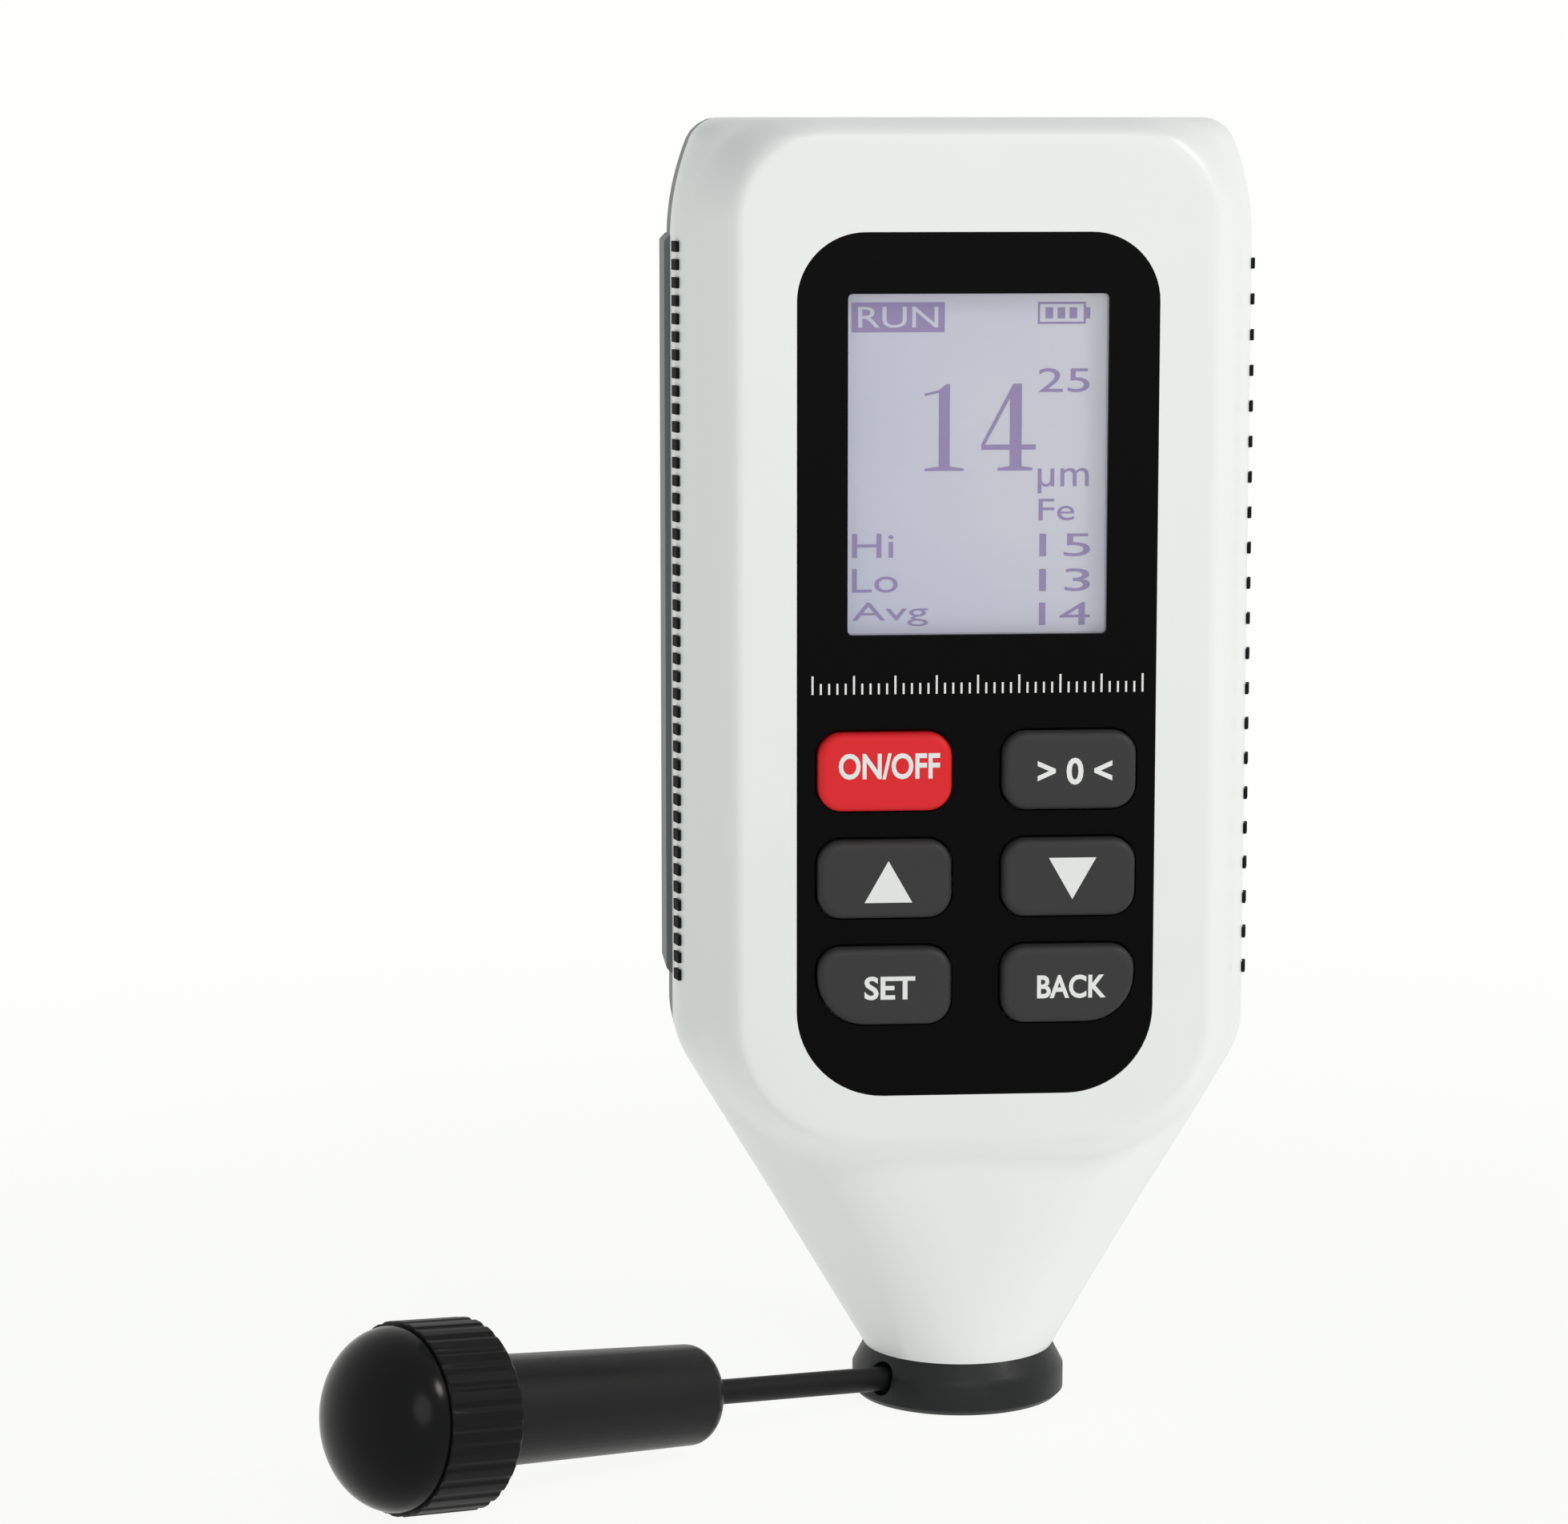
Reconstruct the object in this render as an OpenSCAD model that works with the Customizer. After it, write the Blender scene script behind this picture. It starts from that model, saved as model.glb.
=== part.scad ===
// Hand-held coating thickness gauge, standing on its nose ring with a wired probe lying beside it.
// Millimetres, +Z up, the display faces -Y. The origin is the middle of the ring's underside.

/* [Case] */
// Height of the top edge above the surface the gauge stands on
case_top = 121; // [118:0.5:126]
// Width of the case between the two side walls
case_w = 54.2; // [52:0.2:58]
// From the nose axis to the face of the front panel
front_d = 12; // [11.5:0.1:14]
// From the nose axis to the flat back
rear_d = 14.5; // [14:0.1:17]
// From the nose axis back to the joint between the two case halves
parting_y = 3.5; // [2.5:0.1:4]
// Thickness of the moulded walls
wall = 1.6; // [1.3:0.1:1.8]
// Radius of the case where it meets the nose ring
nose_r = 9; // [8.6:0.1:9.2]
// Lean of the two lower side walls from upright, in degrees
taper = 31.2; // [29:0.2:33]
// Lean of the upper side walls from upright, in degrees
top_taper = 20; // [16:0.5:24]
// Half width of the case at its very top
top_half_w = 24.6; // [23:0.1:26]
// Rounding of the top edge
edge_r = 2; // [1.2:0.1:2.4]

/* [Raised front] */
// Height of the raised front above the shell around it
raised = 1.2; // [0.8:0.1:1.4]
// Width of the raised front
raised_w = 43; // [41:0.2:45]
// Lower end of the raised front
raised_bottom = 28.2; // [26:0.2:29]
// From the top edge down to the raised front
raised_drop = 3.4; // [2.6:0.2:6]
// Corner radius of the raised front
raised_r = 11; // [8:0.2:13]

/* [Front panel] */
// Width of the black front panel
panel_w = 33; // [32:0.2:35]
// From the top edge down to the panel
panel_drop = 10.3; // [9.6:0.1:12]
// Height of the panel's lower edge
panel_bottom = 31.4; // [30.5:0.1:32]
// Radius of its upper corners
panel_top_r = 6.2; // [4:0.2:8]
// Radius of its lower corners
panel_low_r = 8; // [5:0.2:9]
// Thickness of the panel
panel_t = 0.8; // [0.6:0.1:1]

/* [Display] */
// Width of the display window
window_w = 23.8; // [22:0.2:25]
// From the panel's upper edge down to the window
window_drop = 5.5; // [5:0.1:6.6]
// From the uppermost keys up to the window
window_gap = 8.9; // [8:0.1:11]
// Thickness of the liquid crystal cell
cell_t = 1.9; // [1.5:0.1:2.2]

/* [Keys] */
// Width of a key
key_w = 12.3; // [11:0.1:13]
// Height of a key
key_h = 7.2; // [6.4:0.1:7.6]
// Corner radius of a key
key_r = 2.2; // [1.2:0.1:2.6]
// Radius of the outer lower corner of the two lowest keys
key_low_r = 4.4; // [3:0.1:5]
// How far a key stands out of the panel
key_rise = 1.1; // [0.9:0.1:1.4]
// How far a key goes in
key_travel = 0.8; // [0.5:0.1:0.85]
// Distance between the two columns of keys
column_pitch = 17; // [16.2:0.1:17.6]
// Distance between the rows of keys
row_pitch = 9.95; // [9.7:0.05:10.2]
// From the panel's lower edge up to the middle of the lowest row
first_row = 10.4; // [9.8:0.1:10.8]

/* [Side grips] */
// Lower end of the grips
grip_bottom = 40.2; // [38:0.2:42]
// From the top edge down to the grips
grip_drop = 10.8; // [10:0.2:14]
// Distance between two grip studs
tooth_pitch = 1.66; // [1.5:0.02:2]
// Height of a stud
tooth_w = 1; // [0.6:0.05:1.1]
// From the joint of the case forward to the studs
tooth_from = 4.4; // [4:0.1:5.2]
// Length of a stud towards the front
tooth_len = 1.6; // [1.2:0.1:2.4]
// How far a stud stands out of the white half
tooth_rise = 0.35; // [0.15:0.05:0.4]
// How far the grey pads stand out of the side walls
grip_rise = 0.55; // [0.4:0.05:0.7]
// How far the grey pads reach behind the joint
pad_d = 8; // [6:0.5:8]
// Length of the slope at each end of a grey pad
pad_slope = 0.6; // [0.4:0.1:2]

/* [Nose ring] */
// Diameter of the ring
ring_d = 20.2; // [19.4:0.1:21]
// Height of the ring under the case
ring_h = 4.8; // [4.6:0.1:5.4]
// Height of its upright band
ring_band = 2.7; // [2.4:0.1:3]

/* [Lead] */
// Diameter of the lead
lead_d = 2.3; // [2:0.1:2.4]
// Length of lead seen between the ring and the probe
lead_free = 22.2; // [21:0.1:26]
// Height of the lead where it leaves the ring
lead_z = 2.7; // [2.6:0.05:2.9]
// Turn of the lead from the gauge's left toward its front, in degrees
lead_turn = 35.5; // [20:0.5:50]

/* [Probe] */
// Length of the tapered handle
handle_len = 24.5; // [22:0.5:28]
// Diameter of the handle at its tail
tail_d = 9.2; // [8.8:0.1:9.6]
// Diameter of the handle next to the collar
handle_d = 9.9; // [9.6:0.1:10.6]
// Rounding of the tail's edge
tail_round = 1.4; // [0.8:0.1:1.8]
// Diameter of the smooth collar
collar_d = 11.8; // [11.4:0.1:12.4]
// Length of the smooth collar
collar_len = 1.5; // [1.2:0.1:2.5]
// Diameter of the fluted cap
cap_d = 16.9; // [16:0.1:17.6]
// Length of the fluted band
band_len = 7.8; // [7.2:0.1:8.6]
// Height of the domed end
dome_h = 5.8; // [5.4:0.1:7]
// Step between the band and the dome
dome_step = 0.35; // [0.2:0.05:0.5]
// Number of flutes
flutes = 30; // [20:2:36]
// Depth of a flute
flute_depth = 0.15; // [0.1:0.05:0.45]
// How far the sensor tip can be pushed in
tip_travel = 2; // [1:0.1:2.5]

/* [Inside] */
// Diameter of a cell
battery_d = 10.4; // [10:0.1:10.5]
// Length of a cell
battery_len = 44.5; // [43.5:0.1:45]
// From the top edge down to the battery bay
bay_drop = 13; // [12:0.5:15]
// Thickness of the battery door
door_t = 1.6; // [1.4:0.1:2]
// Thickness of the circuit board
board_t = 1.6; // [1.2:0.1:1.8]
// Clearance around a moving piece
slip = 0.2; // [0.15:0.05:0.25]
// Clearance between pieces that rest on each other
seat = 0.05; // [0.03:0.01:0.08]

/* [Hidden] */
$fn = 48;

white = [0.88, 0.9, 0.89];
grey = [0.4, 0.41, 0.42];
dark = [0.13, 0.13, 0.14];
black = [0.05, 0.05, 0.055];
steel = [0.72, 0.73, 0.74];
copper = [0.72, 0.42, 0.25];
board_green = [0.08, 0.3, 0.18];

// Levels from the front panel back to the board.
panel_face = -front_d;
panel_back = panel_face + panel_t;
wall_back = -(front_d - raised - wall);
mat_t = 0.8;
mat_front = wall_back + seat;
mat_back = mat_front + mat_t;
flange_front = mat_back + seat;
flange_t = 0.8;
pill_t = 0.25;
pill_end = flange_front + flange_t + pill_t;
pad_t = 0.1;
board_front = pill_end + key_travel + pad_t + seat;
board_back = board_front + board_t;
cell_front = panel_back + 0.3;
cell_back = cell_front + cell_t;

// Places on the front, tied to the top edge and the panel's lower edge.
raised_top = case_top - raised_drop;
panel_top = case_top - panel_drop;
panel_h = panel_top - panel_bottom;
panel_mid = panel_bottom + panel_h / 2;
row_z = [for (i = [0:2]) panel_bottom + first_row + i * row_pitch];
window_low = row_z[2] + key_h / 2 + window_gap;
window_h = panel_top - window_drop - window_low;
window_z = window_low + window_h / 2;
grip_top = case_top - grip_drop;
key_x = column_pitch / 2;
flange_over = 0.8;
mat_rim = 0.8;
mat_w = column_pitch + key_w + 2 * flange_over + 2 * mat_rim + 0.6;
mat_low = row_z[0] - key_h / 2 - flange_over - mat_rim - 0.4;
mat_high = row_z[2] + key_h / 2 + flange_over + mat_rim + 0.4;

// The board and its four posts.
post_r = 1.5;
post_screw_r = 0.8;
post_screw_in = 1.4;
post_head_t = 0.9;
post_x = mat_w / 2 + post_r + 0.25;
board_w = 2 * (post_x + 1.4);
board_low = panel_bottom + 2.4;
board_high = panel_top - 2.2;
post_low = board_low + 3;
post_high = board_high - 3;

// The circuits and the buzzer on the back of the board.
chip_side = board_w / 4;
chip_t = 1.5;
buzzer_r = board_w / 8;
buzzer_t = 3;

// Flat-floored room behind the panel for the keypad and the display.
holder_over = 2.4;
room_half = max(mat_w / 2, window_w / 2 + holder_over) + slip;
room_low = mat_low - slip;
room_high = window_z + window_h / 2 + holder_over + slip;

// The four case screws.
screw_top = [20.4, case_top - 8.6];
screw_low = [12.4, 27];
screw_at = [for (p = [screw_top, screw_low], s = [-1, 1]) [s * p[0], p[1]]];
boss_r = 2.5;
screw_r = 1.05;
head_r = 2;
head_h = 1.3;
head_seat = parting_y + 2.4;
screw_len = 8.5;
cross_half = head_r * 0.65;
cross_w = head_r * 0.125;
cross_deep = head_h * 0.45;

// The battery bay and its door.
bay_top = case_top - bay_drop;
half_w0 = case_w / 2;
cell_x = battery_d / 2 + 0.15;
bay_half = battery_d + 0.45;
plate_t = 0.4;
spring_room = 3;
leaf_half = battery_d * 0.385;
leaf_w = battery_d * 0.42;
plate_half = battery_d * 0.36;
bay_low = bay_top - battery_len - 2 * seat - plate_t - spring_room - plate_t;
door_back = rear_d - door_t;
battery_y = door_back - 0.3 - battery_d / 2;
bay_floor = battery_y - battery_d / 2 - seat;
tray_t = 1.2;
ledge = 1;
door_half = bay_half + ledge - slip;
door_low = bay_low - ledge + slip;
door_high = bay_top + ledge - slip;
peg_x = bay_half * 0.74;
peg_half = bay_half * 0.11;
peg_t = 0.9;
rib_half = bay_half * 0.46;
rib_pitch = 1.7;
latch_half = bay_half * 0.39;
latch_len = 5;

// The nose ring's hidden neck, which the two case halves clamp.
neck_r = 6.2;
neck_floor = 2.3;
neck_flange_r = 6.9;
neck_flange_t = 1.4;
ring_r = ring_d / 2;
ring_bore_r = 5;
foot_t = 0.8;

// The probe lies along one straight line with its lead, tilted so that the cap rests on the surface.
cap_r = cap_d / 2;
rim_chamfer = 0.4;
handle_end = lead_free + handle_len;
collar_end = handle_end + collar_len;
cap_start = collar_end + slip;
rim_at = cap_start + rim_chamfer;
tilt = atan2(cap_r, rim_at) - asin(lead_z / sqrt(cap_r * cap_r + rim_at * rim_at));
grommet_r = 1.55;
grommet_out = -1.2;
grommet_in = -4.6;
lead_r = lead_d / 2;
bend_r = 4.5;
bore_start = lead_free + 10;
lead_end = bore_start + 1;
bore_r = 3.6;
head_out_r = cap_r - 1.7;
head_end = collar_end + 9;
guide_len = 2.5;
rod_r = 1.5;
coil_len = 5;
coil_end = head_end - guide_len - seat;
coil_start = coil_end - coil_len;
disc_t = 1.5;
disc_start = coil_start - disc_t;
tip_out = 2.2;
cap_bore_r = head_out_r + slip;
dome_start = cap_start + band_len;
cap_end = dome_start + dome_h;
dome_wall = 1.4;
plug_low = board_low - 6.5;
plug_half_w = 3.5;

function clamp01(t) = max(0, min(1, t));
function ease(t) = let (c = clamp01(t)) c * c * (3 - 2 * c);
function mix(a, b, t) = a + (b - a) * t;
function soft_min(a, b, k) = let (h = clamp01(0.5 + 0.5 * (b - a) / k)) mix(b, a, h) - k * h * (1 - h);
function soft_max(a, b, k) = -soft_min(-a, -b, k);
function span(a, b, n) = [for (i = [0:n - 1]) a + (b - a) * i / n];
function power(v, p) = v <= 0 ? 0 : pow(v, p);

// The outline of the case at a height: half width, front, back, joint line and squareness.
function top_round(z) = let (d = z - (case_top - edge_r))
  d <= 0 ? 0 : edge_r - sqrt(max(0, edge_r * edge_r - d * d));
function half_w(z) =
  let (low = nose_r + (z - ring_h) * tan(taper), high = top_half_w + (case_top - z) * tan(top_taper))
  soft_min(soft_min(low, half_w0, 1.2), high, 1.6) - top_round(z);
function front_r(z) =
  let (low = nose_r + (z - ring_h) * tan(6.3), high = front_d - 2.8 + (case_top - z) * tan(20))
  soft_min(soft_min(low, front_d - raised, 0.8), high, 0.8) - top_round(z);
function rear_r(z) =
  let (low = nose_r + (z - ring_h) * tan(14), high = rear_d - 1.2 + (case_top - z) * tan(16))
  soft_min(soft_min(low, rear_d + 0.6, 2), high, 1) - top_round(z);
function joint_y(z) = parting_y * ease((z - ring_h) / 20);
function front_n(z) = mix(2, 3.2, ease((z - ring_h) / 24));
function rear_n(z) = mix(2, 8, ease((z - ring_h) / 12));

// The raised front: level inside a rounded rectangle, rolling off ever steeper outside it.
function past(x, z) =
  let (qx = abs(x) - raised_w / 2 + raised_r,
       qz = abs(z - (raised_top + raised_bottom) / 2) - (raised_top - raised_bottom) / 2 + raised_r)
  norm([max(qx, 0), max(qz, 0)]) + min(max(qx, qz), 0) - raised_r;
function fall(d) = d <= 0 ? 0 : 0.5 * d * d;
function raised_y(x, z) = front_d - fall(past(x, z));

function front_point(a, z, in) =
  let (p = 2 / front_n(z), c = cos(a), s = sin(a),
       x = -sign(c) * (half_w(z) - in) * power(abs(c), p),
       deep = (front_r(z) - in + joint_y(z)) * power(s, p) - joint_y(z))
  [x, in > 0 || a == 0 || a == 180 ? -deep : -soft_max(deep, raised_y(x, z), raised), z];
function rear_point(a, z, in) =
  let (p = 2 / rear_n(z), c = cos(a), s = sin(a))
  [sign(c) * (half_w(z) - in) * power(abs(c), p),
   min(joint_y(z) + (rear_r(z) - in - joint_y(z)) * power(s, p), rear_d - in), z];
front_step = 5;
function front_loop(z) = [for (a = [0:front_step:180]) front_point(a, z, 0)];
function rear_loop(z) = [for (a = [0:10:180]) rear_point(a, z, 0)];
function hollow_loop(z) = concat(
  [for (a = [0:12:180]) front_point(a, z, wall)],
  [for (a = [15:15:165]) rear_point(a, z, wall)]);

// Depth of the plain shell at a place, for what stands on its inside.
function front_at(x, z) =
  joint_y(z) - (front_r(z) + joint_y(z)) * power(1 - power(abs(x) / half_w(z), front_n(z)), 1 / front_n(z));
function rear_at(x, z) = min(rear_d, joint_y(z) + (rear_r(z) - joint_y(z))
  * power(1 - power(abs(x) / half_w(z), rear_n(z)), 1 / rear_n(z)));

function off_mid(z, r) = z + (z > case_top / 2 ? r : -r);
function boss_front(p) = front_at(abs(p[0]) + boss_r, off_mid(p[1], boss_r));
function pillar_rear(p) = rear_at(abs(p[0]) + boss_r + 0.5, off_mid(p[1], boss_r + 0.5));

shoulder = ring_h + (half_w0 - nose_r) / tan(taper);
outer_z = concat(
  span(ring_h, raised_bottom - 3.5, 6),
  span(raised_bottom - 3.5, raised_bottom + 3, 7),
  span(raised_bottom + 3, shoulder + 4, 7),
  span(shoulder + 4, raised_top - 12, 4),
  span(raised_top - 12, case_top - edge_r, 12),
  [for (a = [0:22.5:90]) case_top - edge_r + edge_r * sin(a)]);
hollow_z = concat(
  span(ring_h + neck_floor, raised_bottom, 4),
  span(raised_bottom, shoulder + 4, 5),
  span(shoulder + 4, raised_top - 6, 2),
  span(raised_top - 6, case_top - wall - 1.6, 3),
  [case_top - wall - 1.6, case_top - wall - 0.5, case_top - wall]);

// A solid through a stack of loops, each a ring of points that turns left seen from the far end.
module loft(loops) {
  n = len(loops[0]);
  m = len(loops);
  polyhedron(
    points = [for (r = loops) each r],
    faces = concat(
      [[for (j = [0:n - 1]) j]],
      [[for (j = [n - 1:-1:0]) (m - 1) * n + j]],
      [for (i = [0:m - 2], j = [0:n - 1]) [i * n + j, (i + 1) * n + j, (i + 1) * n + (j + 1) % n]],
      [for (i = [0:m - 2], j = [0:n - 1]) [i * n + j, (i + 1) * n + (j + 1) % n, i * n + (j + 1) % n]]));
}

// Outline of a rectangle with its own radius at each corner: lower left, lower right, upper right, upper left.
function corner(cx, cy, r, a) = [for (i = [0:6]) [cx + r * cos(a + i * 15), cy + r * sin(a + i * 15)]];
function plate_outline(w, h, r) = concat(
  corner(-w / 2 + r[0], -h / 2 + r[0], r[0], 180), corner(w / 2 - r[1], -h / 2 + r[1], r[1], 270),
  corner(w / 2 - r[2], h / 2 - r[2], r[2], 0), corner(-w / 2 + r[3], h / 2 - r[3], r[3], 90));
function grown(r, by) = [for (v = r) max(v + by, 0.3)];

// A plate that faces -Y, from one depth to another, centred on a place.
module plate(x, z, w, h, r, from, to) {
  translate([x, to, z])
    rotate([90, 0, 0])
      linear_extrude(to - from)
        polygon(plate_outline(w, h, r));
}

module block(x0, x1, y0, y1, z0, z1) {
  translate([x0, y0, z0])
    cube([x1 - x0, y1 - y0, z1 - z0]);
}

// A round bar along +Y.
module bar(x, z, r, from, to) {
  translate([x, from, z])
    rotate([-90, 0, 0])
      cylinder(r = r, h = to - from);
}

panel_radii = [panel_low_r, panel_low_r, panel_top_r, panel_top_r];
window_radii = [0.4, 0.4, 0.4, 0.4];
key_radii = [key_r, key_r, key_r, key_r];
low_left_radii = [key_low_r, key_r, key_r, key_r];
low_right_radii = [key_r, key_low_r, key_r, key_r];
key_places = [
  [-key_x, row_z[2], key_radii], [key_x, row_z[2], key_radii],
  [-key_x, row_z[1], key_radii], [key_x, row_z[1], key_radii],
  [-key_x, row_z[0], low_left_radii], [key_x, row_z[0], low_right_radii]
];

module key_holes(from, to) {
  for (k = key_places)
    plate(k[0], k[1], key_w + 2 * slip, key_h + 2 * slip, grown(k[2], slip), from, to);
}

module case_hollow() {
  loft([for (z = hollow_z) hollow_loop(z)]);
}

module neck_hole() {
  translate([0, 0, ring_h - 1])
    cylinder(r = neck_r + seat, h = neck_floor + 2);
}

// Front half of the case: white moulding with the raised front, the panel's recess and screw bosses.
module front_case() {
  color(white)
    difference() {
      union() {
        difference() {
          loft([for (z = outer_z) front_loop(z)]);
          case_hollow();
          block(-room_half, room_half, wall_back, parting_y + 1, room_low, room_high);
        }
        for (p = screw_at)
          bar(p[0], p[1], boss_r, boss_front(p) + wall / 2, parting_y);
        for (x = [-post_x, post_x], z = [post_low, post_high])
          bar(x, z, post_r, front_at(abs(x) + post_r, z) + wall / 2, board_front);
      }
      plate(0, panel_mid, panel_w + 2 * seat, panel_h + 2 * seat, grown(panel_radii, seat),
            panel_face - 2, panel_back);
      plate(0, window_z, window_w + 2 * slip, window_h + 2 * slip, window_radii, panel_back - 1, wall_back + 2);
      key_holes(panel_back - 1, wall_back + 1);
      neck_hole();
      for (p = screw_at)
        bar(p[0], p[1], screw_r + seat, head_seat - screw_len - slip, parting_y + 1);
      for (x = [-post_x, post_x], z = [post_low, post_high])
        bar(x, z, post_screw_r + seat, board_front - post_screw_in - slip, board_front + 1);
    }
}

// The grey pads on the sides of the rear half.
module grip_pads() {
  for (s = [0, 1])
    mirror([s, 0, 0])
      translate([0, parting_y + pad_d, 0])
        rotate([90, 0, 0])
          linear_extrude(pad_d)
            polygon([[half_w0 - 1, grip_bottom], [half_w0, grip_bottom],
                     [half_w0 + grip_rise, grip_bottom + pad_slope], [half_w0 + grip_rise, grip_top - pad_slope],
                     [half_w0, grip_top], [half_w0 - 1, grip_top]]);
}

// Rear half of the case: grey moulding with the battery bay, the screw pillars and the grip pads.
module rear_case() {
  color(grey)
    difference() {
      union() {
        difference() {
          union() {
            loft([for (z = outer_z) rear_loop(z)]);
            grip_pads();
          }
          case_hollow();
        }
        block(-bay_half - tray_t, bay_half + tray_t, bay_floor - tray_t, door_back,
              bay_low - tray_t, bay_top + tray_t);
        for (p = screw_at)
          bar(p[0], p[1], boss_r + 0.5, parting_y, pillar_rear(p) - wall / 2);
      }
      block(-bay_half, bay_half, bay_floor, rear_d + 1, bay_low, bay_top);
      block(-bay_half - ledge, bay_half + ledge, door_back, rear_d + 1, bay_low - ledge, bay_top + ledge);
      neck_hole();
      for (p = screw_at) {
        bar(p[0], p[1], screw_r + 0.2, parting_y - 1, head_seat + 1);
        bar(p[0], p[1], head_r + 0.25, head_seat, rear_d + 1);
      }
    }
}

// One grip: a row of rubber studs bonded to the side of the front half, each shaped to its round.
teeth = floor((grip_top - grip_bottom - tooth_w) / tooth_pitch) + 1;
teeth_low = (grip_top + grip_bottom - (teeth - 1) * tooth_pitch - tooth_w) / 2;
function stud_turn(u) =
  asin(power(u / (front_r(panel_mid) + joint_y(panel_mid)), front_n(panel_mid) / 2)) / front_step;
function on_front(t) =
  let (i = floor(t),
       p = front_point(i * front_step, panel_mid, 0),
       q = front_point((i + 1) * front_step, panel_mid, 0))
  p + (q - p) * (t - i);
stud_from = stud_turn(tooth_from);
stud_to = stud_turn(tooth_from + tooth_len);
stud_line = concat(stud_from, [for (i = [ceil(stud_from):floor(stud_to)]) i], stud_to);
stud_end = len(stud_line) - 1;
stud_outline = concat(
  [for (i = [0:stud_end]) let (q = on_front(stud_line[i])) [seat - q[0], q[1]]],
  [for (i = [stud_end:-1:0]) let (q = on_front(stud_line[i])) [tooth_rise - q[0], q[1]]]);

module side_grip(side, step) {
  color(black)
    mirror([side < 0 ? 1 : 0, 0, 0])
      for (i = [0:step:teeth - 1])
        translate([0, 0, teeth_low + i * tooth_pitch])
          linear_extrude(tooth_w)
            polygon(stud_outline);
}

module side_grip_left() {
  side_grip(-1, 1);
}

// The right grip has every second stud.
module side_grip_right() {
  side_grip(1, 2);
}

// Black printed panel, let into the front case.
module front_panel() {
  color(black)
    difference() {
      plate(0, panel_mid, panel_w, panel_h, panel_radii, panel_face, panel_back);
      plate(0, window_z, window_w, window_h, window_radii, panel_face - 1, panel_back + 1);
      key_holes(panel_face - 1, panel_back + 1);
    }
}

// Clear pane bonded into the panel.
module display_window() {
  color([0.8, 0.8, 0.86, 0.4])
    plate(0, window_z, window_w - 0.06, window_h - 0.06, window_radii, panel_face + 0.05, panel_back);
}

module lcd_cell() {
  color([0.72, 0.7, 0.8])
    plate(0, window_z, window_w - 0.1, window_h - 0.1, window_radii, cell_front, cell_back);
}

// Light guide and holder under the cell, standing on the board.
module backlight() {
  color([0.93, 0.93, 0.9])
    difference() {
      block(-window_w / 2 - holder_over, window_w / 2 + holder_over,
            max(cell_back, wall_back) + seat, board_front,
            window_z - window_h / 2 - holder_over, window_z + window_h / 2 + holder_over);
      block(-window_w / 2 + 2, window_w / 2 - 2, board_front - 0.8, board_front + 1,
            window_z - window_h / 2 + 2, window_z + window_h / 2 - 2);
    }
}

module main_board() {
  color(board_green)
    difference() {
      block(-board_w / 2, board_w / 2, board_front, board_back, board_low, board_high);
      for (x = [-post_x, post_x], z = [post_low, post_high])
        bar(x, z, post_screw_r + 0.15, board_front - 1, board_back + 1);
    }
}

// Circuits on the back of the board.
module board_chips() {
  color(dark) {
    block(-chip_side * 0.2, chip_side * 0.8, board_back, board_back + chip_t, row_z[1], row_z[1] + chip_side);
    block(chip_side, chip_side * 1.45, board_back, board_back + chip_t, row_z[2], row_z[2] + chip_side * 0.6);
    block(-chip_side * 1.3, -chip_side * 0.8, board_back, board_back + chip_t,
          row_z[2] + chip_side * 0.4, row_z[2] + chip_side * 0.8);
    block(-chip_side * 0.4, chip_side * 0.4, board_back, board_back + chip_t,
          window_z - chip_side * 1.5, window_z - chip_side * 0.9);
  }
}

module board_screws() {
  color(steel)
    for (x = [-post_x, post_x], z = [post_low, post_high]) {
      bar(x, z, post_screw_r, board_front - post_screw_in, board_back + post_head_t / 2);
      bar(x, z, post_r, board_back, board_back + post_head_t);
    }
}

// Contact pads under the keys.
module contact_pads() {
  color([0.83, 0.68, 0.3])
    for (k = key_places)
      bar(k[0], k[1], 2.2, board_front - pad_t, board_front);
}

module buzzer() {
  color(dark)
    difference() {
      bar(-board_w / 4, row_z[0] + row_pitch / 2, buzzer_r, board_back, board_back + buzzer_t);
      bar(-board_w / 4, row_z[0] + row_pitch / 2, buzzer_r / 6,
          board_back + buzzer_t / 2, board_back + buzzer_t + 1);
    }
}

// Rubber sheet around the keys, with a rim that stands on the board.
module keypad_mat() {
  color(grey)
    difference() {
      block(-mat_w / 2, mat_w / 2, mat_front, board_front, mat_low, mat_high);
      block(-mat_w / 2 + mat_rim, mat_w / 2 - mat_rim, mat_back, board_front + 1,
            mat_low + mat_rim, mat_high - mat_rim);
      key_holes(mat_front - 1, mat_back + 1);
    }
}

// A key: cushioned cap, a flange behind the mat and a contact pill over the board.
function key_ring(k, in, y) = [for (p = plate_outline(key_w - 2 * in, key_h - 2 * in, grown(k[2], -in)))
  [k[0] + p[0], y, k[1] + p[1]]];

module key(k, tint) {
  top = panel_face - key_rise;
  color(tint)
    union() {
      loft([key_ring(k, 0, flange_front + flange_t / 2), key_ring(k, 0, top + 0.75),
            key_ring(k, 0.09, top + 0.45), key_ring(k, 0.32, top + 0.22),
            key_ring(k, 0.7, top + 0.08), key_ring(k, 1.5, top)]);
      plate(k[0], k[1], key_w + 2 * flange_over, key_h + 2 * flange_over, grown(k[2], flange_over),
            flange_front, flange_front + flange_t);
      bar(k[0], k[1], 1.8, flange_front + flange_t / 2, pill_end);
    }
}

module power_key() {
  key(key_places[0], [0.85, 0.13, 0.15]);
}

module zero_key() {
  key(key_places[1], [0.22, 0.22, 0.22]);
}

module up_key() {
  key(key_places[2], [0.22, 0.22, 0.22]);
}

module down_key() {
  key(key_places[3], [0.22, 0.22, 0.22]);
}

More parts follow.
